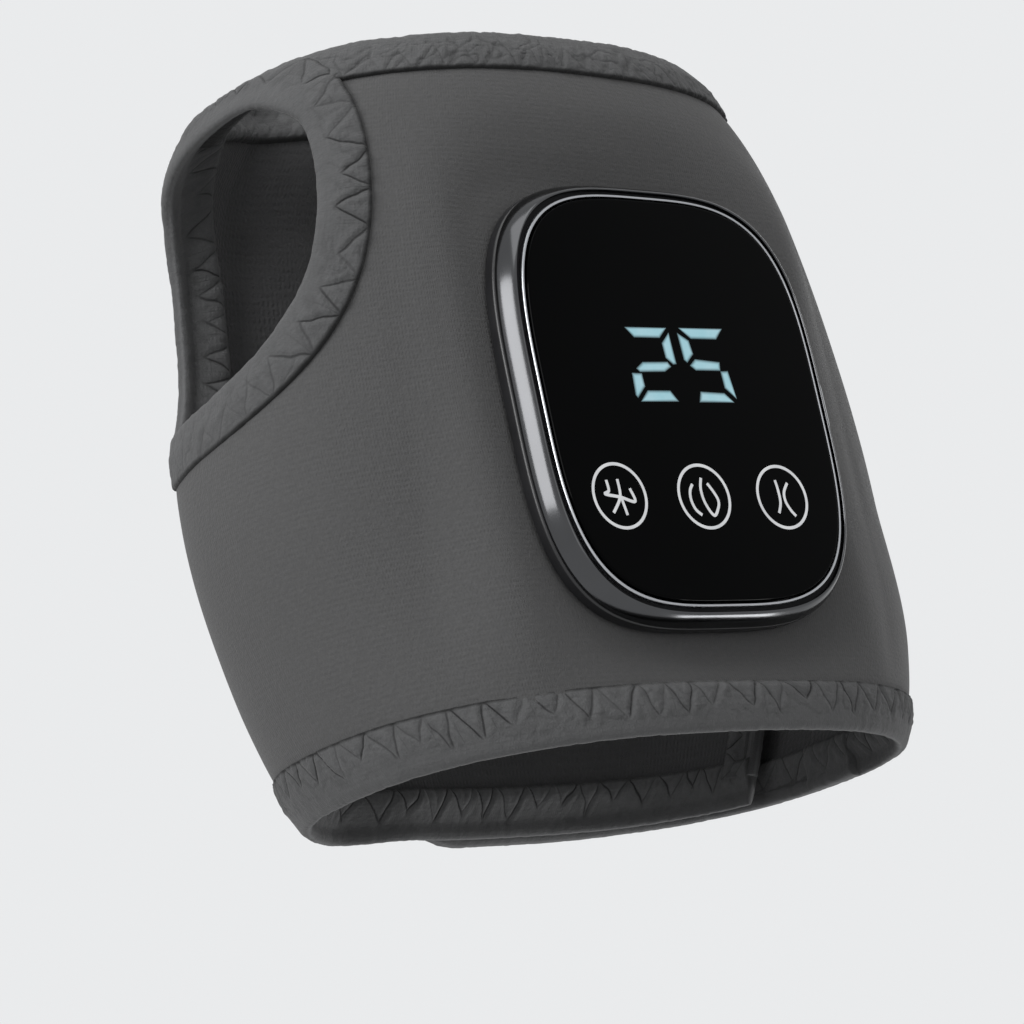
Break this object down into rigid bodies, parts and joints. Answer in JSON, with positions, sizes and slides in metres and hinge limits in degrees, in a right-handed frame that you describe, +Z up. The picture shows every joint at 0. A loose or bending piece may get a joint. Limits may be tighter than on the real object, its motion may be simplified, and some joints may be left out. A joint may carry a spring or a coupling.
{
  "type": "heated ankle massager wrap with a touch control module",
  "caption": "Padded ankle wrap, open at the heel and closed by a front flap, with a glossy touch control module on its lateral side that heats and vibrates",
  "frame": {"origin": "on the ground under the middle of the box round the whole massager, closed", "axes": "+Z up the ankle, +X to the front, -X to the heel opening, -Y out of the control module on the lateral side, +Y to the medial side where the flap closes"},
  "size_m": [0.126, 0.0774, 0.125],
  "materials": {
    "fabric": "matt",
    "lining": "matt",
    "tape": "matt",
    "hook": "matt",
    "film": "satin",
    "black_glass": "polished",
    "silver": "polished",
    "gunmetal": "polished",
    "dark_plastic": "satin",
    "black_plastic": "satin",
    "key_print": "satin",
    "board": "satin",
    "steel": "satin",
    "foil": "satin",
    "rubber": "matt",
    "weight_metal": "satin"
  },
  "bodies": {
    "wrap": {"outer_shell": "fabric", "inner_lining": "lining", "top_binding": "tape", "bottom_binding": "tape", "heel_binding": "tape", "inner_end_binding": "tape", "heating_film_front": "film", "heating_film_medial": "film", "temperature_sensor": "black_plastic", "loop_patch": "hook", "lower_housing": "dark_plastic", "clamp_frame": "black_plastic", "bezel_ring": "gunmetal", "trim_ring": "silver", "lens_gasket": "rubber", "cover_lens": "black_glass", "display_unit": "black_plastic", "circuit_board": "board", "usb_socket": "steel", "battery": "foil", "motor_saddle": "rubber", "motor_case": "steel", "key_ring_left": "key_print", "key_ring_middle": "key_print", "key_ring_right": "key_print", "touch_spring_left": "steel", "touch_spring_middle": "steel", "touch_spring_right": "steel", "clamp_screw_1": "steel", "clamp_screw_2": "steel", "clamp_screw_3": "steel", "clamp_screw_4": "steel", "board_screw_1": "steel", "board_screw_2": "steel", "board_screw_3": "steel", "board_screw_4": "steel"},
    "closure_flap": {"flap_shell": "fabric", "flap_lining": "lining", "flap_binding": "tape", "hook_patch": "hook"},
    "motor_rotor": {"motor_rotor": "weight_metal"}
  },
  "joints": [
    {"name": "closure_fold", "type": "hinge", "parent": "wrap", "child": "closure_flap", "pos_m": [0.06283, -0.00003, 0.05], "axis": [0, 0, -1], "range_deg": [0, 80]},
    {"name": "rotor_spin", "type": "hinge", "parent": "wrap", "child": "motor_rotor", "pos_m": [0.0055, -0.02896, 0.03303], "axis": [0.9997, 0, 0.0227], "continuous": true}
  ]
}
